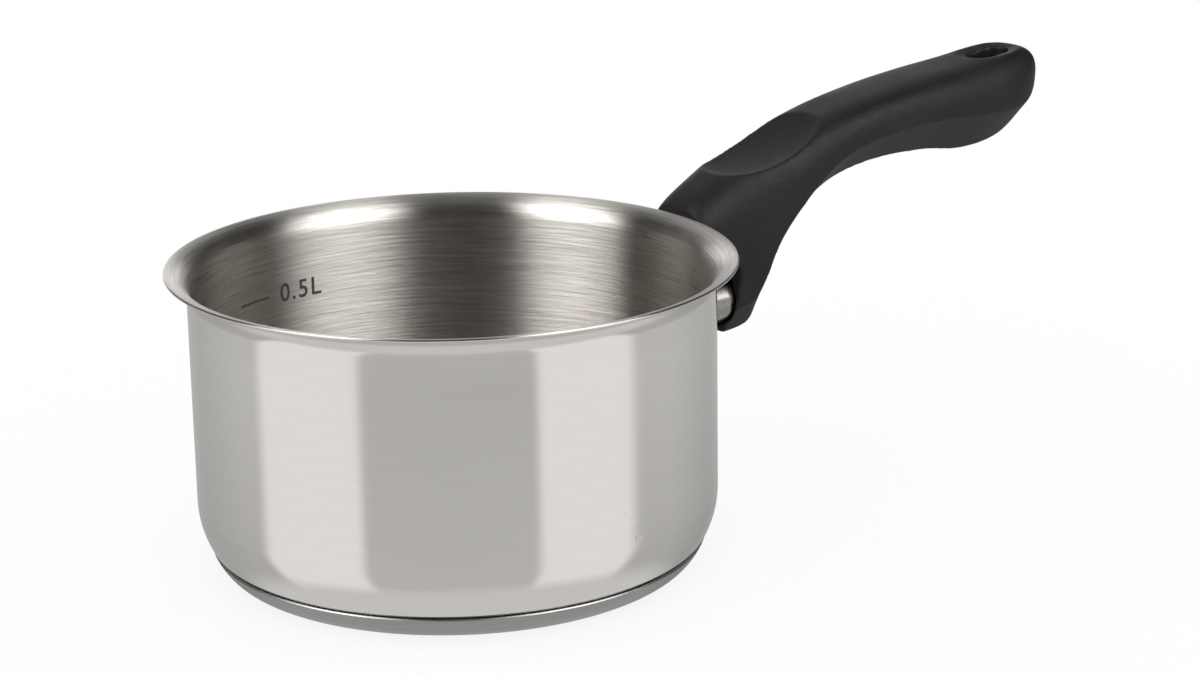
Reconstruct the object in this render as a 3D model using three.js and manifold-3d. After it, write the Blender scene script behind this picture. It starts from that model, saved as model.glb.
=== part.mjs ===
// Small saucepan: drawn pot, bonded base, welded bracket, flame guard and moulded handle.
// Millimetres, Z up, origin under the middle of the base, handle along +X.
import * as THREE from "three";
import { mergeVertices } from "three/addons/utils/BufferGeometryUtils.js";
import Module from "manifold-3d";

const wasm = await Module();
wasm.setup();

// Pot
const wallRadius = 60; // outside of the straight wall
const wallThickness = 0.7;
const potHeight = 70.7; // base underside to the top of the rim
const rimFlare = 4.7; // how far the rim stands out from the wall
const flareRadius = 5; // tight curve of the pouring rim
const cornerRadius = 21; // wide curve at the foot of the wall
const cornerAngle = (27.5 * Math.PI) / 180;
const heelRadius = 4.2; // tight curve from there to the floor
const turns = 72; // facets round the pot

// Base
const capThickness = 0.5;
const coreThickness = 4.3;
const bondGap = 0.1; // bonding layer over and under the core
const grooveGap = 0.4; // dark line between the cap's lip and the pot
const lipReach = 2.9; // cap lip past the centre of the heel curve
const capSide = 6; // how far the cap's side leans out

// Bracket and flame guard
const fitGap = 0.3; // between pieces that are put together by hand
const bracketDrop = 22.9; // rim to the middle of the bracket
const plateWidth = 22;
const plateHeight = 19;
const plateThickness = 1.6;
const plateCorner = 5;
const bossRadius = 4.6; // threaded boss on the plate
const guardWidth = 16;
const guardHeight = 12.8;
const guardWall = 0.7;
const guardInset = 1.6; // depth of the guard in the handle's mouth

// Handle, with x from its mouth and z from the middle of the bracket
const handleSetback = 12.3; // rim to the mouth
const crown = [
  // x, z, half width
  [-11.2, 24.2, 11],
  [-8.6, 26.4, 11.4],
  [-3.5, 29.3, 12],
  [4.5, 33.2, 12.6],
  [14, 36.5, 12.8],
  [25, 39.7, 12.4],
  [38, 42.8, 12],
  [54, 45.4, 12.2],
  [69, 47, 12.8],
  [83, 48.2, 13],
  [91.5, 49.3, 12.6],
  [98.5, 49.9, 11],
  [103.6, 48.6, 8],
  [107, 45.2, 4.2],
];
const keel = [
  // x, z, height of the crease over it, half width
  [-7, -7.8, 7, 4],
  [-0.5, -8.1, 7, 4.6],
  [6.2, -5.9, 6.5, 6.2],
  [9.1, 0.2, 5.5, 6.4],
  [12.4, 9.9, 5.5, 6.4],
  [21.4, 18.8, 6.5, 6.4],
  [32.5, 25.2, 7.6, 6.2],
  [47, 28, 8.4, 6],
  [64, 28, 9, 6],
  [77, 26.4, 10, 6],
  [88, 27.1, 9, 5.8],
  [95.5, 29.7, 7, 5.2],
  [101.2, 33.9, 5, 4],
  [105, 38.8, 2.4, 2.4],
];
const mouthTilt = 0.12; // lean of the mouth, its lower lip nearer the pot
const mouthTop = 8.5;
const noseZ = 20.5; // underside of the nose that reaches towards the rim
const rootSquareness = 3.6; // how square the domed top is at each end
const tipSquareness = 3;
const rootPinch = 0.27; // how far the sides draw in towards the mouth
const pinchEnd = 0.36; // share of the handle's length where that ends
const pinchRise = [0.35, 0.9]; // share of the side's height where it fades
const handleStations = 44;
const domeSteps = 18;
const slotStart = 87; // hanging slot, from the mouth
const slotLength = 12;
const slotWidth = 7;
const scoop = { x: 15.2, z: 40.5, length: 39.5, width: 40, depth: 15, slope: 0.37 }; // thumb recess
const dish = { x: 93, z: 50.4, length: 23, width: 17, depth: 5, slope: 0.1 }; // hollow round the slot

// Screw from the back of the root, with its washer
const webThickness = 1.8; // handle between the boss and the washer
const shankRadius = 2.5;
const shankLength = 14;
const headRadius = 3.9;
const headHeight = 2.1;
const headEdge = 0.9; // straight side of the head under its dome
const tipChamfer = 0.6;
const crossWidth = 1.1;
const crossDepth = 1.3;
const washerThickness = 0.9;
const washerSlit = 0.8;

// Places that follow from the sizes
const floorZ = capThickness + coreThickness + 2 * bondGap; // underside of the pot's floor
const heelZ = floorZ + heelRadius;
const heelR = wallRadius - cornerRadius + (cornerRadius - heelRadius) * Math.cos(cornerAngle);
const cornerZ = heelZ + (cornerRadius - heelRadius) * Math.sin(cornerAngle);
const bracketZ = potHeight - bracketDrop;
const plateInside = wallRadius + fitGap;
const plateOutside = plateInside + plateThickness;
const mouthX = wallRadius + rimFlare + handleSetback;
const guardEnd = mouthX + guardInset;
const seatX = guardEnd + fitGap + webThickness; // face the washer bears on
const headX = seatX + washerThickness;
const overshoot = 1; // how far a cut runs past the face it opens
const turn = Math.PI * 2;
const flatEnds = { bevelEnabled: false, curveSegments: 16 };

// A closed surface as a solid, and a solid as a geometry
function solid(geometry) {
  const bare = new THREE.BufferGeometry();
  bare.setAttribute("position", geometry.getAttribute("position"));
  bare.setIndex(geometry.index);
  const welded = mergeVertices(bare, 1e-3);
  const kept = [];
  for (let i = 0; i < welded.index.count; i += 3) {
    const [a, b, c] = welded.index.array.slice(i, i + 3);
    if (a !== b && b !== c && c !== a) kept.push(a, b, c);
  }
  const vertProperties = welded.getAttribute("position").array;
  const triVerts = new Uint32Array(kept);
  return new wasm.Manifold(new wasm.Mesh({ numProp: 3, vertProperties, triVerts }));
}

function geometryOf(body) {
  const mesh = body.getMesh();
  const geometry = new THREE.BufferGeometry();
  geometry.setAttribute("position", new THREE.BufferAttribute(mesh.vertProperties, 3));
  geometry.setIndex(new THREE.BufferAttribute(mesh.triVerts, 1));
  geometry.computeVertexNormals();
  return geometry;
}

// Turned, extruded and block shapes
function arc(x, y, rx, ry, from, to, steps) {
  return new THREE.EllipseCurve(x, y, rx, ry, from, to, to < from).getPoints(steps);
}

function turned(profile, facets = turns) {
  return solid(new THREE.LatheGeometry(profile, facets).rotateX(Math.PI / 2));
}

function pin(radius, from, to, x = 0, facets = 28) {
  const profile = [[0, from], [radius, from], [radius, to], [0, to]];
  return turned(profile.map(([r, z]) => new THREE.Vector2(r, z)), facets).translate([x, 0, 0]);
}

function upright(shape, from, to) {
  const geometry = new THREE.ExtrudeGeometry(shape, { ...flatEnds, depth: to - from });
  return solid(geometry.translate(0, 0, from));
}

function alongX(shape, from, to) {
  // The shape's x runs along Y and its y along Z.
  const geometry = new THREE.ExtrudeGeometry(shape, { ...flatEnds, depth: to - from });
  return solid(geometry.rotateY(Math.PI / 2).rotateX(Math.PI / 2).translate(from, 0, bracketZ));
}

function block(x0, x1, y0, y1, z0, z1) {
  const geometry = new THREE.BoxGeometry(x1 - x0, y1 - y0, z1 - z0);
  return solid(geometry.translate((x0 + x1) / 2, (y0 + y1) / 2, (z0 + z1) / 2));
}

function rod(radius, from, to) {
  return alongX(oval(2 * radius, 2 * radius), from, to);
}

function oval(width, height) {
  const shape = new THREE.Shape();
  shape.absellipse(0, 0, width / 2, height / 2, 0, turn);
  return shape;
}

// Pot: outside from the axis up to the rim, then the inside back down
function makePot() {
  const t = wallThickness;
  const lean = Math.acos(1 - rimFlare / flareRadius);
  const middle = flareRadius + t / 2;
  const flareX = wallRadius + flareRadius;
  const flareZ = potHeight - middle * Math.sin(lean) - t / 2;
  const cornerX = wallRadius - cornerRadius;
  const down = -Math.PI / 2;
  const edgeX = flareX - middle * Math.cos(lean);
  const edgeZ = flareZ + middle * Math.sin(lean);
  const inner = [heelRadius - t, cornerRadius - t, flareRadius + t];
  return turned([
    new THREE.Vector2(0, floorZ),
    ...arc(heelR, heelZ, heelRadius, heelRadius, down, -cornerAngle, 6),
    ...arc(cornerX, cornerZ, cornerRadius, cornerRadius, -cornerAngle, 0, 4),
    ...arc(flareX, flareZ, flareRadius, flareRadius, Math.PI, Math.PI - lean, 8),
    ...arc(edgeX, edgeZ, t / 2, t / 2, -lean, Math.PI - lean, 4),
    ...arc(flareX, flareZ, inner[2], inner[2], Math.PI - lean, Math.PI, 8),
    ...arc(cornerX, cornerZ, inner[1], inner[1], 0, -cornerAngle, 4),
    ...arc(heelR, heelZ, inner[0], inner[0], -cornerAngle, down, 6),
    new THREE.Vector2(0, floorZ + t),
  ]);
}

// Base: the cap's side is a quarter oval, and the core fills the cap
function makeBase() {
  const lipInside = lipReach - capThickness;
  const capZ = heelZ - Math.sqrt(heelRadius ** 2 - lipInside ** 2) - grooveGap;
  const flatR = heelR + lipReach - capSide;
  const down = -Math.PI / 2;
  const inset = capThickness + bondGap;
  const coreTop = capThickness + bondGap + coreThickness;
  const coreEdge = -Math.asin(Math.max(0, capZ - coreTop) / (capZ - inset));
  const cap = turned([
    new THREE.Vector2(0, 0),
    ...arc(flatR, capZ, capSide, capZ, down, 0, 7),
    ...arc(flatR, capZ, capSide - capThickness, capZ - capThickness, 0, down, 7),
    new THREE.Vector2(0, capThickness),
  ]);
  const core = turned([
    new THREE.Vector2(0, inset),
    ...arc(flatR, capZ, capSide - inset, capZ - inset, down, coreEdge, 6),
    new THREE.Vector2(0, coreTop),
  ]);
  return { cap, core };
}

// Bracket: a plate curved to the wall with a threaded boss
function makeBracket() {
  const sweep = Math.asin(plateWidth / plateInside);
  const ring = new THREE.Shape();
  ring.absarc(0, 0, plateOutside, -sweep, sweep);
  ring.absarc(0, 0, plateInside, sweep, -sweep, true);
  const half = [plateWidth / 2, plateHeight / 2];
  const face = new THREE.Shape();
  face.moveTo(-half[0] + plateCorner, -half[1]);
  face.absarc(half[0] - plateCorner, plateCorner - half[1], plateCorner, -turn / 4, 0);
  face.absarc(half[0] - plateCorner, half[1] - plateCorner, plateCorner, 0, turn / 4);
  face.absarc(plateCorner - half[0], half[1] - plateCorner, plateCorner, turn / 4, turn / 2);
  face.absarc(plateCorner - half[0], plateCorner - half[1], plateCorner, turn / 2, (turn * 3) / 4);
  const plate = upright(ring, bracketZ - plateHeight, bracketZ + plateHeight);
  const boss = rod(bossRadius, plateInside + plateThickness / 2, guardEnd);
  const thread = rod(shankRadius + fitGap, headX - shankLength - overshoot, guardEnd + overshoot);
  return plate.intersect(alongX(face, wallRadius / 2, mouthX)).add(boss).subtract(thread);
}

// Flame guard: an oval sleeve from the plate into the handle's mouth
function makeGuard() {
  const sleeve = alongX(oval(guardWidth, guardHeight), wallRadius, guardEnd);
  const bore = alongX(oval(guardWidth - 2 * guardWall, guardHeight - 2 * guardWall), 0, guardEnd + overshoot);
  const wall = pin(plateOutside + fitGap, 0, potHeight, 0, turns);
  return sleeve.subtract(bore).subtract(wall);
}

// One section of the handle: narrow underside, two lower facets, domed top
function section(top, bottom, foot, squareness, pinch) {
  const rise = new THREE.Vector3(top.x - bottom.x, 0, top.z - bottom.z);
  const height = rise.length();
  rise.normalize();
  const at = (side, up) => new THREE.Vector3(bottom.x + rise.x * up, side, bottom.z + rise.z * up);
  const half = top.y;
  const crease = bottom.y;
  const points = [at(-foot, 0), at(foot, 0)];
  for (let i = 0; i <= domeSteps; i++) {
    const angle = (Math.PI * i) / domeSteps;
    const up = Math.sin(angle) ** (2 / squareness);
    const across = Math.abs(Math.cos(angle)) ** (2 / squareness) * Math.sign(Math.cos(angle));
    const drawnIn = 1 - pinch * (1 - THREE.MathUtils.smoothstep(up, ...pinchRise));
    points.push(at(half * across * drawnIn, crease + (height - crease) * up));
  }
  return points;
}

function handleBlank() {
  const curve = (rows, place) => new THREE.CatmullRomCurve3(rows.map(place)).getPoints(handleStations);
  const tops = curve(crown, ([x, z, half]) => new THREE.Vector3(mouthX + x, half, bracketZ + z));
  const bottoms = curve(keel, ([x, z, crease]) => new THREE.Vector3(mouthX + x, crease, bracketZ + z));
  const feet = curve(keel, ([x, z, , foot]) => new THREE.Vector3(x, foot, z));
  const rings = tops.map((top, i) => {
    const along = i / handleStations;
    const squareness = THREE.MathUtils.lerp(rootSquareness, tipSquareness, along);
    const pinch = rootPinch * Math.max(0, 1 - along / pinchEnd);
    return section(top, bottoms[i], feet[i].y, squareness, pinch);
  });
  const count = rings[0].length;
  const index = [];
  rings.slice(1).forEach((ring, r) => {
    for (let i = 0; i < count; i++) {
      const a = r * count + i;
      const b = r * count + ((i + 1) % count);
      index.push(a, b, b + count, a, b + count, a + count);
    }
  });
  const last = (rings.length - 1) * count;
  for (let i = 1; i < count - 1; i++) index.push(0, i + 1, i, last, last + i, last + i + 1);
  const geometry = new THREE.BufferGeometry().setFromPoints(rings.flat());
  geometry.setIndex(index);
  return solid(geometry);
}

// Side outline of what is cut from the front of the blank: under the nose and along the mouth
function frontCut() {
  const low = keel[0][1] - 10 * overshoot;
  const outline = [
    [-mouthX / 2, low],
    [low * mouthTilt, low],
    [mouthTop * mouthTilt, mouthTop],
    [crown[0][0] - overshoot / 2, noseZ],
    [-mouthX / 2, noseZ],
  ];
  const shape = new THREE.Shape(outline.map(([x, z]) => new THREE.Vector2(x, z)));
  const depth = 4 * guardWidth;
  const geometry = new THREE.ExtrudeGeometry(shape, { ...flatEnds, depth });
  return solid(geometry.translate(0, 0, -depth / 2).rotateX(Math.PI / 2).translate(mouthX, 0, bracketZ));
}

// An egg-shaped recess
function hollow({ x, z, length, width, depth, slope }) {
  const egg = new THREE.SphereGeometry(0.5, 40, 24).scale(length, width, depth).rotateY(-slope);
  return solid(egg.translate(mouthX + x, 0, bracketZ + z));
}

// Handle: the blank less its recesses
function makeHandle() {
  const slot = new THREE.Shape();
  const slotFrom = mouthX + slotStart + slotWidth / 2;
  const slotTo = mouthX + slotStart + slotLength - slotWidth / 2;
  slot.absarc(slotFrom, 0, slotWidth / 2, turn / 4, (turn * 3) / 4);
  slot.absarc(slotTo, 0, slotWidth / 2, -turn / 4, turn / 4);
  const cuts = [
    frontCut(),
    upright(slot, bracketZ, bracketZ + potHeight),
    hollow(scoop),
    hollow(dish),
    alongX(oval(guardWidth + 2 * fitGap, guardHeight + 2 * fitGap), wallRadius, guardEnd + fitGap),
    rod(shankRadius + fitGap, wallRadius, headX),
    rod(headRadius + fitGap, seatX, seatX + 4 * headHeight),
  ];
  return cuts.reduce((body, cut) => body.subtract(cut), handleBlank());
}

// Screw with a domed head and a cross recess, and a split washer, both along X
function makeFixings() {
  const top = headX + headHeight;
  const tip = headX - shankLength;
  const point = (r, x) => new THREE.Vector2(r, x);
  const profile = [
    point(0, tip),
    point(shankRadius - tipChamfer, tip),
    point(shankRadius, tip + tipChamfer),
    point(shankRadius, headX),
    point(headRadius, headX),
    ...arc(0, headX + headEdge, headRadius, headHeight - headEdge, 0, turn / 4, 5),
  ];
  const turnedScrew = new THREE.LatheGeometry(profile, 32).rotateZ(-Math.PI / 2).translate(0, 0, bracketZ);
  const arm = shankRadius;
  const cross = crossWidth / 2;
  const screw = solid(turnedScrew)
    .subtract(block(top - crossDepth, top + overshoot, -arm, arm, bracketZ - cross, bracketZ + cross))
    .subtract(block(top - crossDepth, top + overshoot, -cross, cross, bracketZ - arm, bracketZ + arm));
  const slit = washerSlit / 2;
  const washer = rod(headRadius, seatX + bondGap, headX - bondGap)
    .subtract(rod(shankRadius + fitGap, mouthX, top))
    .subtract(block(mouthX, top, -slit, slit, bracketZ, bracketZ + 2 * headRadius));
  return { screw, washer };
}

const steel = { color: 0xc9cac8, roughness: 0.22, metalness: 1 };
const satin = { color: 0xb4b5b4, roughness: 0.4, metalness: 1 };
const aluminium = { color: 0xa9abad, roughness: 0.5, metalness: 1 };
const blackPlastic = { color: 0x1d1d1e, roughness: 0.62, metalness: 0 };

const saucepan = new THREE.Group();
saucepan.name = "saucepan";

function place(name, body, look) {
  const mesh = new THREE.Mesh(geometryOf(body), new THREE.MeshStandardMaterial(look));
  mesh.name = name;
  saucepan.add(mesh);
}

const base = makeBase();
const fixings = makeFixings();
place("pot_body", makePot(), steel);
place("base_core", base.core, aluminium);
place("base_cap", base.cap, steel);
place("handle_bracket", makeBracket(), satin);
place("flame_guard", makeGuard(), steel);
place("handle", makeHandle(), blackPlastic);
place("screw_washer", fixings.washer, satin);
place("handle_screw", fixings.screw, satin);

export default saucepan;
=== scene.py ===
import math
import bpy
import bmesh
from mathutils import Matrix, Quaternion, Vector


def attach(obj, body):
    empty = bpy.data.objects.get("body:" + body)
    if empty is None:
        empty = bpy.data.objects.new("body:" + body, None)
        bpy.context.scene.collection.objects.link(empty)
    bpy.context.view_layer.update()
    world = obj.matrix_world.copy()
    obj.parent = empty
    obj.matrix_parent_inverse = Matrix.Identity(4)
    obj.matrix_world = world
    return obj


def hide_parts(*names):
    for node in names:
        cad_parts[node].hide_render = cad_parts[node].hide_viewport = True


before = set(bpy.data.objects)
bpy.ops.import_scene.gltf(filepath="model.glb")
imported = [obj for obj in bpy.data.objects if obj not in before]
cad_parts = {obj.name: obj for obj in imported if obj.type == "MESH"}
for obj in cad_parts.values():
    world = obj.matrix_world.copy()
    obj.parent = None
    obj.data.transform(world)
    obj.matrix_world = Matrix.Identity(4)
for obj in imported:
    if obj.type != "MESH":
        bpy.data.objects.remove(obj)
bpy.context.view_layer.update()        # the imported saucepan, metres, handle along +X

mm = 0.001
weldGap = 0.002 * mm
scene = bpy.context.scene
scene.view_settings.view_transform = "Standard"
print("frame loaded:", sorted(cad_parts))


# small helpers used by every piece
def deselectAll():
    if bpy.context.object and bpy.context.object.mode != "OBJECT":
        bpy.ops.object.mode_set(mode="OBJECT")
    bpy.ops.object.select_all(action="DESELECT")


def makeActive(piece):
    deselectAll()
    piece.select_set(True)
    bpy.context.view_layer.objects.active = piece


def editMode(piece):
    makeActive(piece)
    bpy.ops.object.mode_set(mode="EDIT")
    bpy.ops.mesh.select_all(action="SELECT")


def objectMode():
    bpy.ops.object.mode_set(mode="OBJECT")


def applyModifier(piece, kind, **settings):
    makeActive(piece)
    modifier = piece.modifiers.new(kind.lower(), kind)
    for key, value in settings.items():
        setattr(modifier, key, value)
    bpy.ops.object.modifier_apply(modifier=modifier.name)


def cleanShell(piece):
    editMode(piece)
    bpy.ops.mesh.remove_doubles(threshold=weldGap)
    bpy.ops.mesh.normals_make_consistent(inside=False)
    objectMode()


def smooth(piece, degrees):
    makeActive(piece)
    bpy.ops.object.shade_smooth_by_angle(angle=math.radians(degrees))


def paintWith(piece, *materials):
    piece.data.materials.clear()
    for material in materials:
        piece.data.materials.append(material)


def settle(piece, slotName, *nodes):
    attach(piece, "root")
    if nodes:
        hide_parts(*nodes)
    print("made", piece.name, len(piece.data.polygons), "faces")


def arcPoints(x, z, rx, rz, start, end, steps):
    turn = [math.radians(start + (end - start) * i / steps) for i in range(steps + 1)]
    return [(x + rx * math.cos(a), z + rz * math.sin(a)) for a in turn]


def spinProfile(name, profile, steps):
    # one point, extruded along the profile, then spun about the pot's axis
    deselectAll()
    bpy.ops.mesh.primitive_plane_add(size=mm)
    piece = bpy.context.object
    piece.name = name
    editMode(piece)
    bpy.ops.mesh.merge(type="CENTER")
    bpy.ops.transform.translate(value=(profile[0][0] * mm, 0, profile[0][1] * mm))
    for (r0, z0), (r1, z1) in zip(profile, profile[1:]):
        step = ((r1 - r0) * mm, 0, (z1 - z0) * mm)
        bpy.ops.mesh.extrude_region_move(TRANSFORM_OT_translate={"value": step})
    bpy.ops.mesh.select_all(action="SELECT")
    bpy.ops.mesh.spin(steps=steps, angle=2 * math.pi, center=(0, 0, 0), axis=(0, 0, 1))
    objectMode()
    cleanShell(piece)
    return piece


# node building
class Shader:
    def __init__(self, name):
        self.material = bpy.data.materials.new(name)
        self.material.use_nodes = True
        self.tree = self.material.node_tree
        self.body = self.tree.nodes["Principled BSDF"]
        self.coords = self.add("ShaderNodeTexCoord").outputs["Object"]

    def add(self, kind, **settings):
        node = self.tree.nodes.new(kind)
        for key, value in settings.items():
            setattr(node, key, value)
        return node

    def link(self, source, target):
        self.tree.links.new(source, target)

    def constants(self, **values):
        for key, value in values.items():
            self.body.inputs[key.replace("_", " ")].default_value = value

    def math(self, operation, a, b=None):
        node = self.add("ShaderNodeMath", operation=operation)
        for socket, value in zip(node.inputs, (a, b)):
            if value is None:
                continue
            if isinstance(value, (int, float)):
                socket.default_value = value
            else:
                self.link(value, socket)
        return node.outputs[0]

    def around(self, perTurn, perMetre):
        # coordinates that run round the pot's axis, so a noise on them draws turned streaks
        parts = self.add("ShaderNodeSeparateXYZ")
        self.link(self.coords, parts.inputs[0])
        x, y, z = parts.outputs
        angle = self.math("ARCTAN2", y, x)
        squares = self.math("ADD", self.math("MULTIPLY", x, x), self.math("MULTIPLY", y, y))
        radius = self.math("SQRT", squares)
        joined = self.add("ShaderNodeCombineXYZ")
        self.link(self.math("MULTIPLY", angle, perTurn / (2 * math.pi)), joined.inputs[0])
        self.link(self.math("MULTIPLY", z, perMetre), joined.inputs[1])
        self.link(self.math("MULTIPLY", radius, perMetre), joined.inputs[2])
        return joined.outputs[0]

    def flattened(self, upright):
        # coordinates squeezed along the pot's axis
        node = self.add("ShaderNodeMapping")
        node.inputs["Scale"].default_value = (1, 1, upright)
        self.link(self.coords, node.inputs["Vector"])
        return node.outputs[0]

    def noise(self, vector, scale, detail=3, roughness=0.5):
        node = self.add("ShaderNodeTexNoise")
        node.inputs["Scale"].default_value = scale
        node.inputs["Detail"].default_value = detail
        node.inputs["Roughness"].default_value = roughness
        self.link(vector, node.inputs["Vector"])
        return node.outputs["Fac"]

    def spread(self, value, low, high, fromLow=0.3, fromHigh=0.7):
        node = self.add("ShaderNodeMapRange")
        sockets = ("From Min", "From Max", "To Min", "To Max")
        for key, number in zip(sockets, (fromLow, fromHigh, low, high)):
            node.inputs[key].default_value = number
        self.link(value, node.inputs["Value"])
        return node.outputs[0]

    def tint(self, value, dark, light):
        node = self.add("ShaderNodeMix", data_type="RGBA")
        node.inputs["A"].default_value = (*dark, 1)
        node.inputs["B"].default_value = (*light, 1)
        self.link(value, node.inputs["Factor"])
        self.link(node.outputs["Result"], self.body.inputs["Base Color"])

    def rough(self, value):
        self.link(value, self.body.inputs["Roughness"])

    def bump(self, height, distance):
        node = self.add("ShaderNodeBump")
        node.inputs["Distance"].default_value = distance
        node.inputs["Strength"].default_value = 1.0
        self.link(height, node.inputs["Height"])
        normal = self.body.inputs["Normal"]
        if normal.links:
            self.link(normal.links[0].from_socket, node.inputs["Normal"])
        self.link(node.outputs["Normal"], normal)

    def turnedTangent(self):
        node = self.add("ShaderNodeTangent", direction_type="RADIAL", axis="Z")
        self.link(node.outputs[0], self.body.inputs["Tangent"])


def polishedSteel(name, dark, light, rough, wave):
    # faint polishing lines and haze, a slow wave in the sheet and a few tiny dents
    steel = Shader(name)
    steel.constants(Metallic=1.0, Roughness=rough[0])
    haze = steel.noise(steel.flattened(0.35), 60, 4)
    lines = steel.noise(steel.around(14, 900), 1.0, 3, 0.6)
    steel.tint(steel.spread(lines, 0, 1), dark, light)
    steel.rough(steel.spread(haze, *rough))
    steel.bump(steel.noise(steel.flattened(0.6), 28, 1), wave)
    dents = steel.spread(steel.noise(steel.coords, 190, 2), 0, 1, 0.73, 0.80)
    steel.bump(dents, -wave)
    return steel.material


def brushedSteel(name, dark, light, rough, perTurn, perMetre, scratch, anisotropy):
    # streaks round the pot, with finer ones that change the gloss
    steel = Shader(name)
    steel.constants(Metallic=1.0, Anisotropic=anisotropy, Anisotropic_Rotation=0.25)
    streak = steel.noise(steel.around(perTurn, perMetre), 1.0, 4, 0.65)
    fine = steel.noise(steel.around(perTurn * 3, perMetre * 3), 1.0, 3, 0.6)
    steel.tint(steel.spread(streak, 0, 1), dark, light)
    steel.rough(steel.spread(fine, *rough))
    steel.bump(streak, scratch)
    steel.turnedTangent()
    return steel.material


# camera at the photo's place
camera = {
    "location": (-377.5, -539.1, 244.4),
    "aim": (30.0, -15.6, 50.0),
    "roll": -0.86,
    "lens": 90.0,
    "nearest": 10.0,
}


def placeCamera():
    data = bpy.data.cameras.new("photo_camera")
    data.lens = camera["lens"]
    data.clip_start = camera["nearest"] * mm
    eye = bpy.data.objects.new("photo_camera", data)
    scene.collection.objects.link(eye)
    eye.location = Vector(camera["location"]) * mm
    look = Vector(camera["aim"]) * mm - eye.location
    eye.rotation_mode = "QUATERNION"
    roll = Quaternion((0, 0, 1), math.radians(camera["roll"]))
    eye.rotation_quaternion = look.to_track_quat("-Z", "Y") @ roll
    scene.camera = eye


placeCamera()
print("camera placed")

# pot, millimetres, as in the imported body
pot = {
    "wallR": 60.0,
    "wall": 0.7,
    "height": 70.7,
    "flare": 4.7,
    "flareR": 5.0,
    "cornerR": 21.0,
    "cornerAngle": 27.5,
    "heelR": 4.2,
    "floor": 5.0,           # underside of the floor
    "floorRings": 6,
    "heelSteps": 14,
    "cornerSteps": 12,
    "wallRings": 8,
    "flareSteps": 18,
    "lipSteps": 10,
    "turns": 288,           # steps of the spin
    "floorFacing": 0.95,    # upward share of the normal, on the floor and on the flare
    "flareFacing": 0.5,
}


def potPlaces():
    lean = math.degrees(math.acos(1 - pot["flare"] / pot["flareR"]))
    bend = math.radians(pot["cornerAngle"])
    reach = pot["cornerR"] - pot["heelR"]
    heelZ = pot["floor"] + pot["heelR"]
    edge = pot["wall"] / 2
    return {
        "lean": lean,
        "heelX": pot["wallR"] - pot["cornerR"] + reach * math.cos(bend),
        "heelZ": heelZ,
        "cornerZ": heelZ + reach * math.sin(bend),
        "flareZ": pot["height"] - (pot["flareR"] + edge) * math.sin(math.radians(lean)) - edge,
    }


potAt = potPlaces()


def potFlank(inset):
    # from the middle of the floor to the end of the flare, inset from the outer face
    bend, lean, rings = pot["cornerAngle"], potAt["lean"], pot["wallRings"]
    heelX, heelZ, cornerZ, flareZ = (potAt[k] for k in ("heelX", "heelZ", "cornerZ", "flareZ"))
    cornerX, flareX = pot["wallR"] - pot["cornerR"], pot["wallR"] + pot["flareR"]
    heel, corner, flare = pot["heelR"] - inset, pot["cornerR"] - inset, pot["flareR"] + inset
    rise = (flareZ - cornerZ) / rings
    return [
        *[(heelX * i / pot["floorRings"], pot["floor"] + inset) for i in range(pot["floorRings"])],
        *arcPoints(heelX, heelZ, heel, heel, -90, -bend, pot["heelSteps"]),
        *arcPoints(cornerX, cornerZ, corner, corner, -bend, 0, pot["cornerSteps"])[1:],
        *[(pot["wallR"] - inset, cornerZ + rise * i) for i in range(1, rings)],
        *arcPoints(flareX, flareZ, flare, flare, 180, 180 - lean, pot["flareSteps"]),
    ]


def potProfile():
    t, lean = pot["wall"], potAt["lean"]
    middle = pot["flareR"] + t / 2
    edgeX = pot["wallR"] + pot["flareR"] - middle * math.cos(math.radians(lean))
    edgeZ = potAt["flareZ"] + middle * math.sin(math.radians(lean))
    lip = arcPoints(edgeX, edgeZ, t / 2, t / 2, -lean, 180 - lean, pot["lipSteps"])
    return potFlank(0) + lip[1:-1] + potFlank(t)[::-1]


def makePot():
    piece = spinProfile("pot_shell", potProfile(), pot["turns"])
    outside = polishedSteel(
        "polished_outside", (0.726, 0.703, 0.671), (0.743, 0.721, 0.689), rough=(0.09, 0.14), wave=0.00002)
    # inside: base colour darker than the outside steel, painted shade of the pot's hollow; the streaks are
    # the brushing
    inside = brushedSteel(
        "brushed_inside_painted_shade", (0.44, 0.419, 0.392), (0.68, 0.651, 0.611), rough=(0.29, 0.36),
        perTurn=22, perMetre=1700, scratch=0.00011, anisotropy=1.0)
    # floor: base colour darker still than the wall, painted shade at the bottom of the pot; the streaks are
    # the turning
    floor = brushedSteel(
        "turned_floor_painted_shade", (0.30, 0.288, 0.272), (0.42, 0.405, 0.385), rough=(0.34, 0.44),
        perTurn=6, perMetre=2200, scratch=0.000003, anisotropy=0.8)
    paintWith(piece, outside, inside, floor)
    for face in piece.data.polygons:
        centre, normal = face.center, face.normal
        inward = normal.x * centre.x + normal.y * centre.y < 0
        if normal.z > pot["floorFacing"] and centre.z < potAt["heelZ"] * mm:
            face.material_index = 2
        elif inward or normal.z > pot["flareFacing"]:
            face.material_index = 1
    smooth(piece, 40)
    settle(piece, "pot_steel", "pot_body")


makePot()

# pressed cap over the base core, its side still leaning out at the lip
cap = {
    "thickness": 0.5,
    "side": 6.5,            # run of the curved side in from the lip
    "lean": 38.0,
    "lipReach": 3.1,
    "groove": 0.42,         # gap up to the pot's heel
    "bond": 0.1,
    "crest": (0.08, 0.1),   # how far the lip's edge is rounded out and up
    "underRings": 6,
    "outerSteps": 16,
    "innerSteps": 12,
}


def capOval(inset):
    # middle and radii of the oval that the side is part of
    inner = cap["lipReach"] - cap["thickness"]
    lipZ = potAt["heelZ"] - math.sqrt(pot["heelR"] ** 2 - inner ** 2) - cap["groove"]
    lean = math.radians(cap["lean"])
    across, up = cap["side"] / math.cos(lean), lipZ / (1 - math.sin(lean))
    return potAt["heelX"] + cap["lipReach"] - cap["side"], up, across - inset, up - inset


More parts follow.
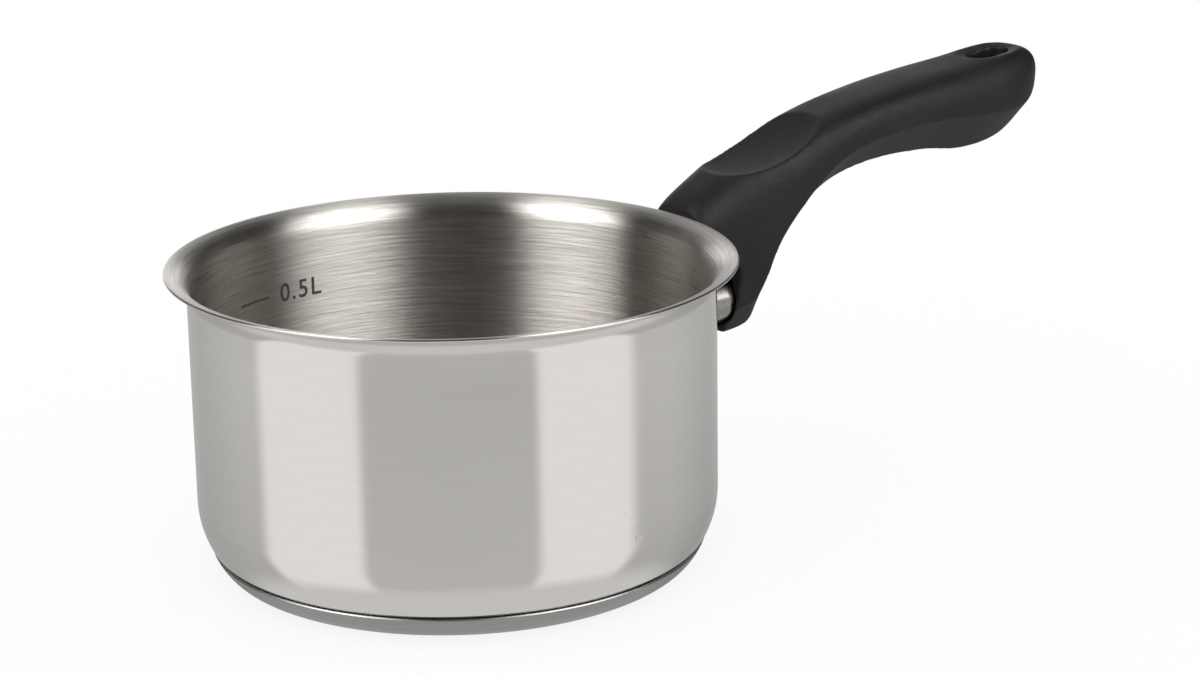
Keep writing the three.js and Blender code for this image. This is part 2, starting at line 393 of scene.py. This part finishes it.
def makeCap():
    t = cap["thickness"]
    outer = arcPoints(*capOval(0), -90, -cap["lean"], cap["outerSteps"])
    inner = arcPoints(*capOval(t), -90, -cap["lean"], cap["innerSteps"])
    (x0, z0), (x1, z1) = outer[-1], inner[-1]
    lip = ((x0 + x1) / 2 + cap["crest"][0], (z0 + z1) / 2 + cap["crest"][1])
    under = [(outer[0][0] * i / cap["underRings"], 0) for i in range(cap["underRings"])]
    piece = spinProfile("base_dish", [*under, *outer, lip, *inner[::-1], (0, t)], pot["turns"])
    # base colour darker than the pot's steel: painted shade, standing in for the shadowed floor under the
    # pot that the cap faces
    paintWith(piece, brushedSteel(
        "satin_base_painted_shade", (0.313, 0.31, 0.305), (0.39, 0.387, 0.382), rough=(0.30, 0.40),
        perTurn=10, perMetre=1800, scratch=0.000004, anisotropy=0.2))
    smooth(piece, 40)
    settle(piece, "cap_steel", "base_cap")


def makeCore():
    # the disc only shows in the groove over the cap
    inset, top = cap["thickness"] + cap["bond"], pot["floor"] - cap["bond"]
    x, z, across, up = capOval(inset)
    end = -math.degrees(math.asin((z - top) / up))
    side = arcPoints(x, z, across, up, -90, end, cap["innerSteps"])
    piece = spinProfile("base_disc", [(0, inset), *side, (0, top)], pot["turns"] // 2)
    paintWith(piece, brushedSteel(
        "aluminium_core", (0.40, 0.40, 0.41), (0.52, 0.52, 0.53), rough=(0.4, 0.55),
        perTurn=8, perMetre=900, scratch=0.00001, anisotropy=0.3))
    smooth(piece, 40)
    settle(piece, "core_aluminium", "base_core")


makeCap()
makeCore()

# moulded handle, x from the mouth and z from the bracket's middle
handle = {
    "mouth": (77.0, 47.8),
    "crown": [      # x, z, half width
        (-11.2, 24.2, 11), (-8.6, 26.4, 11.4), (-3.5, 29.3, 12), (4.5, 33.2, 12.6), (14, 36.5, 12.8),
        (25, 39.7, 12.4), (38, 42.8, 12), (54, 45.4, 12.2), (69, 47, 12.8), (83, 48.2, 13),
        (91.5, 49.3, 12.6), (98.5, 49.9, 11), (103.6, 48.6, 8), (107, 45.2, 4.2),
    ],
    "keel": [       # x, z, height of the crease, half width
        (-7, -7.8, 7, 4), (-0.5, -8.1, 7, 4.6), (6.2, -5.9, 6.5, 6.2), (8.7, 0.2, 5.5, 6.4),
        (12.4, 9.9, 5.5, 6.4), (21.4, 18.8, 6.5, 6.4), (32.5, 25.2, 7.6, 6.2), (47, 28, 8.4, 6),
        (64, 28, 9, 6), (77, 26.4, 10, 6), (88, 27.1, 9, 5.8), (95.5, 29.7, 7, 5.2),
        (101.2, 33.9, 5, 4), (105, 38.8, 2.4, 2.4),
    ],
    "square": (3.6, 3.0),       # how square the domed top is at the root and at the tip
    "pinch": (0.27, 0.36),      # how far the sides draw in at the mouth, and where along that ends
    "pinchRise": (0.35, 0.9),
    "stations": 78,
    "domeSteps": 36,
    "frontCut": [(-38, -18), (-2.1, -18), (1.0, 8.5), (-11.7, 20.5), (-38, 20.5)],
    "frontSide": 30,
    "scoop": {"x": 15.2, "z": 40.5, "length": 39.5, "width": 40, "depth": 15, "slope": 0.37},
    "dish": {"x": 93, "z": 50.4, "length": 23, "width": 17, "depth": 5, "slope": 0.1},
    "slot": {"start": 87, "length": 12, "width": 7, "from": 60, "to": 110},
    # recess and head hole are cut larger than packed, as the softening rounds their corners
    "guard": (16.9, 13.7, 2.3),     # mouth recess: width, height, depth
    "boreFrom": 60,                 # holes at the mouth are cut from here, clear of the root
    "boreLength": 30,
    "screwHole": 2.8,
    "headHole": (4.6, 3.5),         # radius, and where it starts from the mouth
    "voxel": 0.5,
    "softening": 4,
}


def spline(rows, t):
    # Catmull-Rom through the rows, t from 0 to 1
    place = t * (len(rows) - 1)
    i = min(int(place), len(rows) - 2)
    f = place - i
    a, b, c, d = (rows[min(max(k, 0), len(rows) - 1)] for k in (i - 1, i, i + 1, i + 2))
    return [
        0.5 * (2 * q + (r - p) * f + (2 * p - 5 * q + 4 * r - s) * f * f + (3 * q - p - 3 * r + s) * f ** 3)
        for p, q, r, s in zip(a, b, c, d)
    ]


def handleSection(t):
    topX, topZ, half = spline(handle["crown"], t)
    lowX, lowZ, crease, foot = spline(handle["keel"], t)
    rise = Vector((topX - lowX, 0, topZ - lowZ))
    height = rise.length
    rise.normalize()
    square = handle["square"][0] + (handle["square"][1] - handle["square"][0]) * t
    pinch = handle["pinch"][0] * max(0, 1 - t / handle["pinch"][1])
    low, high = handle["pinchRise"]
    middle = (foot + half * (1 - pinch)) / 2
    outline = [(-foot, 0), (-foot / 3, 0), (foot / 3, 0), (foot, 0), (middle, crease / 2)]
    for i in range(handle["domeSteps"] + 1):
        angle = math.pi * i / handle["domeSteps"]
        side = math.copysign(abs(math.cos(angle)) ** (2 / square), math.cos(angle))
        up = abs(math.sin(angle)) ** (2 / square)
        fade = min(max((up - low) / (high - low), 0), 1)
        drawnIn = 1 - pinch * (1 - fade * fade * (3 - 2 * fade))
        outline.append((half * side * drawnIn, crease + (height - crease) * up))
    outline.append((-middle, crease / 2))
    base = Vector((handle["mouth"][0] + lowX, 0, handle["mouth"][1] + lowZ))
    return [(base + rise * up + Vector((0, side, 0))) * mm for side, up in outline]


def handleBlank():
    # a disc extruded station by station, each new ring shaped to its section
    count = len(handleSection(0))
    deselectAll()
    bpy.ops.mesh.primitive_circle_add(vertices=count, radius=mm, fill_type="NGON")
    piece = bpy.context.object
    piece.name = "moulded_handle"
    editMode(piece)
    shell = bmesh.from_edit_mesh(piece.data)
    for point, place in zip(shell.verts, handleSection(0)):
        point.co = place
    for station in range(1, handle["stations"] + 1):
        bpy.ops.mesh.extrude_region_move()
        shell = bmesh.from_edit_mesh(piece.data)
        ring = sorted((v for v in shell.verts if v.select), key=lambda v: v.index)
        for point, place in zip(ring, handleSection(station / handle["stations"])):
            point.co = place
    bmesh.update_edit_mesh(piece.data)
    objectMode()
    cleanShell(piece)
    return piece


def cutWith(piece, tool):
    applyModifier(piece, "BOOLEAN", operation="DIFFERENCE", object=tool, solver="EXACT")
    bpy.data.objects.remove(tool)


def prism(name, outline, along, start, end):
    # a filled outline extruded along one axis, outline given in the other two
    deselectAll()
    bpy.ops.mesh.primitive_circle_add(vertices=len(outline), radius=mm, fill_type="NGON")
    piece = bpy.context.object
    piece.name = name
    editMode(piece)
    shell = bmesh.from_edit_mesh(piece.data)
    axis = "XYZ".index(along)
    for point, (a, b) in zip(shell.verts, outline):
        place = [a * mm, b * mm]
        place.insert(axis, start * mm)
        point.co = place
    bmesh.update_edit_mesh(piece.data)
    step = [0, 0, 0]
    step[axis] = (end - start) * mm
    bpy.ops.mesh.extrude_region_move(TRANSFORM_OT_translate={"value": step})
    objectMode()
    cleanShell(piece)
    return piece


def ovalOutline(width, height, centreZ, steps=64):
    turn = [2 * math.pi * i / steps for i in range(steps)]
    return [(width / 2 * math.cos(a), centreZ + height / 2 * math.sin(a)) for a in turn]


def stadium(start, length, width):
    ends = [(start + length - width / 2, -90), (start + width / 2, 90)]
    return [p for x, a in ends for p in arcPoints(x, 0, width / 2, width / 2, a, a + 180, 20)]


def eggShape(place):
    deselectAll()
    bpy.ops.mesh.primitive_uv_sphere_add(segments=96, ring_count=48, radius=0.5 * mm)
    egg = bpy.context.object
    egg.scale = (place["length"], place["width"], place["depth"])
    egg.rotation_euler = (0, -place["slope"], 0)
    egg.location = ((handle["mouth"][0] + place["x"]) * mm, 0, (handle["mouth"][1] + place["z"]) * mm)
    bpy.ops.object.transform_apply()
    return egg


def cutHandle(piece):
    mouthX, mouthZ = handle["mouth"]
    side = handle["frontSide"]
    front = [(mouthX + x, mouthZ + z) for x, z in handle["frontCut"]]
    cutWith(piece, prism("front_cut", front, "Y", -side, side))
    cutWith(piece, eggShape(handle["scoop"]))
    cutWith(piece, eggShape(handle["dish"]))
    slot = handle["slot"]
    hole = stadium(mouthX + slot["start"], slot["length"], slot["width"])
    cutWith(piece, prism("slot_cut", hole, "Z", slot["from"], slot["to"]))
    start, end = handle["boreFrom"], mouthX + handle["boreLength"]
    width, height, depth = handle["guard"]
    cutWith(piece, prism("mouth_cut", ovalOutline(width, height, mouthZ), "X", start, mouthX + depth))
    bore = 2 * handle["screwHole"]
    cutWith(piece, prism("screw_cut", ovalOutline(bore, bore, mouthZ), "X", start, end))
    radius, seat = handle["headHole"]
    cutWith(piece, prism("head_cut", ovalOutline(2 * radius, 2 * radius, mouthZ), "X", mouthX + seat, end))


def blackMoulding():
    # cloudy black with a fine moulded grain
    plastic = Shader("black_moulding")
    plastic.constants(Metallic=0.0, Specular_IOR_Level=0.25)
    cloud = plastic.noise(plastic.coords, 90, 4)
    grain = plastic.noise(plastic.coords, 1300, 3, 0.6)
    plastic.tint(plastic.spread(cloud, 0, 1), (0.0092, 0.0070, 0.0098), (0.0142, 0.0118, 0.0152))
    plastic.rough(plastic.spread(cloud, 0.46, 0.58))
    plastic.bump(grain, 0.00015)
    return plastic.material


def makeHandle():
    piece = handleBlank()
    cutHandle(piece)
    applyModifier(piece, "REMESH", mode="VOXEL", voxel_size=handle["voxel"] * mm)
    applyModifier(piece, "SMOOTH", factor=0.5, iterations=handle["softening"])
    paintWith(piece, blackMoulding())
    piece.data.shade_smooth()
    settle(piece, "handle_black", "handle")


makeHandle()

# polished oval sleeve between the wall and the handle
guard = {
    "width": 16.0,
    "height": 12.8,
    "wall": 0.7,
    "start": 58.0,          # inside the pot's wall, before the plate's curve trims it
    "end": 78.6,
    "boreEnds": (50, 90),
    "plate": 62.2,          # radius of the bracket's outer face
    "trimHeight": 200.0,
    "steps": 96,
}


def makeGuard():
    mouthZ, steps = handle["mouth"][1], guard["steps"]
    outer = ovalOutline(guard["width"], guard["height"], mouthZ, steps)
    piece = prism("oval_sleeve", outer, "X", guard["start"], guard["end"])
    t = 2 * guard["wall"]
    bore = ovalOutline(guard["width"] - t, guard["height"] - t, mouthZ, steps)
    cutWith(piece, prism("sleeve_bore", bore, "X", *guard["boreEnds"]))
    deselectAll()
    bpy.ops.mesh.primitive_cylinder_add(
        vertices=pot["turns"], radius=guard["plate"] * mm, depth=guard["trimHeight"] * mm)
    cutWith(piece, bpy.context.object)
    # dark base colour: painted shade and painted dim reflection, darker than the sleeve's polished steel
    # itself
    paintWith(piece, polishedSteel(
        "polished_sleeve_painted_shade", (0.27, 0.257, 0.243), (0.33, 0.315, 0.298), rough=(0.24, 0.32), wave=0.00002))
    smooth(piece, 40)
    settle(piece, "guard_steel", "flame_guard")


makeGuard()

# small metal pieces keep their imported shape, with broken edges
fixings = {
    "bracketEdge": 0.25,
    "boltEdge": 0.12,
    "washerEdge": 0.1,
    "edgeSteps": 2,
    "sharpFrom": 35,        # degrees
    "flatWithin": 1,
}


def dressCopy(node, name, edge, material, slotName):
    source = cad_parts[node]
    piece = bpy.data.objects.new(name, source.data.copy())
    scene.collection.objects.link(piece)
    cleanShell(piece)
    editMode(piece)
    bpy.ops.mesh.dissolve_limited(angle_limit=math.radians(fixings["flatWithin"]))
    objectMode()
    applyModifier(
        piece, "BEVEL", width=edge * mm, segments=fixings["edgeSteps"],
        limit_method="ANGLE", angle_limit=math.radians(fixings["sharpFrom"]))
    paintWith(piece, material)
    smooth(piece, 30)
    settle(piece, slotName, node)


satin = polishedSteel(
    "satin_bracket", (0.52, 0.515, 0.51), (0.62, 0.615, 0.61), rough=(0.26, 0.36), wave=0.00003)
zinc = polishedSteel(
    "zinc_fixing", (0.50, 0.50, 0.495), (0.60, 0.60, 0.59), rough=(0.22, 0.34), wave=0.00003)
dressCopy("handle_bracket", "welded_bracket", fixings["bracketEdge"], satin, "bracket_steel")
dressCopy("handle_screw", "handle_bolt", fixings["boltEdge"], zinc, "fixing_steel")
dressCopy("screw_washer", "split_washer", fixings["washerEdge"], zinc, "fixing_steel")

# level mark inside the wall, angles from the handle's plane
mark = {
    "text": "0.5L",
    "z": 52.0,
    "height": 4.0,
    "fontPerHeight": 1.58,
    "spacing": 1.16,
    "stroke": 0.07,         # added all round the letters
    "letterDepth": 0.01,
    "line": (113.0, 103.0),
    "lineWidth": 0.55,
    "lineDepth": 0.02,
    "lineCuts": 12,
    "textStart": 99.6,
    "proud": 0.03,
}
markRadius = pot["wallR"] - pot["wall"]


def wrapInside(piece, startAngle):
    # flat x becomes a run round the inner wall, read from inside, and flat y becomes height
    for point in piece.data.vertices:
        angle = math.radians(startAngle) - point.co.x / (markRadius * mm)
        r = (markRadius - mark["proud"]) * mm - point.co.z
        point.co = (r * math.cos(angle), r * math.sin(angle), mark["z"] * mm + point.co.y)
    cleanShell(piece)


def levelFigure():
    deselectAll()
    bpy.ops.object.text_add()
    letters = bpy.context.object
    letters.data.body = mark["text"]
    letters.data.size = mark["height"] * mm * mark["fontPerHeight"]
    letters.data.space_character = mark["spacing"]
    letters.data.offset = mark["stroke"] * mm
    letters.data.extrude = mark["letterDepth"] * mm
    bpy.ops.object.convert(target="MESH")
    letters.name = "level_figure"
    letters.location = (0, -mark["height"] * mm / 2, 0)
    bpy.ops.object.transform_apply()
    return letters


def levelLine():
    deselectAll()
    bpy.ops.mesh.primitive_plane_add(size=1)
    line = bpy.context.object
    line.name = "level_line"
    run = math.radians(mark["line"][0] - mark["line"][1]) * markRadius * mm
    line.scale = (run, mark["lineWidth"] * mm, 1)
    line.location = (run / 2, 0, 0)
    bpy.ops.object.transform_apply()
    editMode(line)
    bpy.ops.mesh.subdivide(number_cuts=mark["lineCuts"])
    bpy.ops.mesh.extrude_region_move(TRANSFORM_OT_translate={"value": (0, 0, mark["lineDepth"] * mm)})
    objectMode()
    return line


def makeMark():
    letters, line = levelFigure(), levelLine()
    ink = Shader("etched_grey")
    ink.constants(Metallic=0.3)
    worn = ink.noise(ink.coords, 1400, 3, 0.6)
    ink.tint(ink.spread(worn, 0, 1), (0.045, 0.044, 0.043), (0.10, 0.098, 0.095))
    ink.rough(ink.spread(worn, 0.5, 0.7))
    for piece, start in ((letters, mark["textStart"]), (line, mark["line"][0])):
        wrapInside(piece, start)
        paintWith(piece, ink.material)
        settle(piece, "pot_steel")


makeMark()

# studio: pale floor, white surroundings, two soft panels in a dimmer room
studio = {
    "cameraAzimuth": -125.0,
    # degrees from the camera, right of it positive: middle of a change, half its width, level after it
    "tableNear": ((-180, 0, 0.44), (-125, 20, 0.53), (-93, 3, 0.97), (-42, 2, 0.60), (35, 2, 0.97),
                  (82, 3, 0.53), (125, 20, 0.40)),
    "tableFar": ((-180, 0, 0.50), (-125, 20, 0.66), (-93, 3, 0.97), (-42, 2, 0.55), (35, 2, 0.97),
                 (82, 3, 0.66), (125, 20, 0.50)),
    "level": ((-180, 0, 1.40), (-150, 8, 0.04), (-87, 2, 0.7), (-38, 7, 0.02), (30, 9, 0.7),
              (82, 2, 0.04), (162, 6, 1.10)),
    "above": ((-180, 0, 0.70), (-150, 8, 0.03), (-85, 2, 5.3), (-38, 7, 0.02), (30, 9, 5.3),
              (79, 2, 0.03), (164, 6, 0.60)),
    "overhead": ((-180, 0, 0.22),),
    "ground": ((-180, 0, 0.72),),
    # sine of the height where each of them takes over, from its start to its full level
    "bands": (("tableFar", -0.37, -0.27), ("level", -0.14, -0.02), ("above", 0.18, 0.34),
              ("overhead", 0.80, 0.94), ("ground", -0.55, -0.75)),
    "fill": 1.0,
    "floorSize": 8.0,       # metres
    "floorGlow": 0.85,      # share of the floor the camera sees as plain white
}


def panelRamp(tree, angle, levels):
    ramp = tree.nodes.new("ShaderNodeValToRGB")
    elements = ramp.color_ramp.elements
    elements.remove(elements[1])
    elements[0].position = 0.0
    elements[0].color = (levels[0][2],) * 3 + (1,)
    for (_, _, before), (middle, half, after) in zip(levels, levels[1:]):
        for offset, value in ((-half, before), (half, after)):
            elements.new((middle + offset) / 360 + 0.5).color = (value, value, value, 1)
    tree.links.new(angle, ramp.inputs["Fac"])
    return ramp.outputs["Color"]


def makeWorld():
    world = bpy.data.worlds.new("studio")
    scene.world = world
    world.use_nodes = True
    tree = world.node_tree
    tree.nodes.clear()
    add, link = tree.nodes.new, tree.links.new
    direction = add("ShaderNodeTexCoord").outputs["Generated"]
    turn = add("ShaderNodeMapping")
    turn.inputs["Rotation"].default_value = (0, 0, math.radians(-studio["cameraAzimuth"]))
    link(direction, turn.inputs["Vector"])
    sweep = add("ShaderNodeTexGradient")
    sweep.gradient_type = "RADIAL"
    link(turn.outputs[0], sweep.inputs["Vector"])
    parts = add("ShaderNodeSeparateXYZ")
    link(direction, parts.inputs[0])
    room = panelRamp(tree, sweep.outputs["Fac"], studio["tableNear"])
    for name, start, full in studio["bands"]:
        share = add("ShaderNodeMapRange")
        share.interpolation_type = "SMOOTHSTEP"
        share.inputs["From Min"].default_value = start
        share.inputs["From Max"].default_value = full
        link(parts.outputs[2], share.inputs["Value"])
        blend = add("ShaderNodeMix")
        blend.data_type = "RGBA"
        link(share.outputs[0], blend.inputs["Factor"])
        link(room, blend.inputs["A"])
        link(panelRamp(tree, sweep.outputs["Fac"], studio[name]), blend.inputs["B"])
        room = blend.outputs["Result"]
    # metal shows the room, everything else is lit by even white
    seen = add("ShaderNodeMix")
    seen.data_type = "RGBA"
    link(add("ShaderNodeLightPath").outputs["Is Glossy Ray"], seen.inputs["Factor"])
    seen.inputs["A"].default_value = (studio["fill"],) * 3 + (1,)
    link(room, seen.inputs["B"])
    background = add("ShaderNodeBackground")
    link(seen.outputs["Result"], background.inputs["Color"])
    output = add("ShaderNodeOutputWorld")
    link(background.outputs[0], output.inputs["Surface"])


def makeFloor():
    deselectAll()
    bpy.ops.mesh.primitive_plane_add(size=studio["floorSize"])
    floor = bpy.context.object
    floor.name = "pale_floor"
    floor.visible_glossy = False
    paint = Shader("floor_paint")
    paint.constants(Roughness=0.9, Specular_IOR_Level=0.0)
    paint.tint(paint.noise(paint.coords, 3), (0.985, 0.985, 0.985), (1.0, 1.0, 1.0))
    glow = paint.add("ShaderNodeEmission")
    blend = paint.add("ShaderNodeMixShader")
    seenDirect = paint.add("ShaderNodeLightPath").outputs["Is Camera Ray"]
    paint.link(paint.math("MULTIPLY", seenDirect, studio["floorGlow"]), blend.inputs[0])
    paint.link(paint.body.outputs[0], blend.inputs[1])
    paint.link(glow.outputs[0], blend.inputs[2])
    paint.link(blend.outputs[0], paint.tree.nodes["Material Output"].inputs["Surface"])
    paintWith(floor, paint.material)


makeWorld()
makeFloor()
print("studio made")
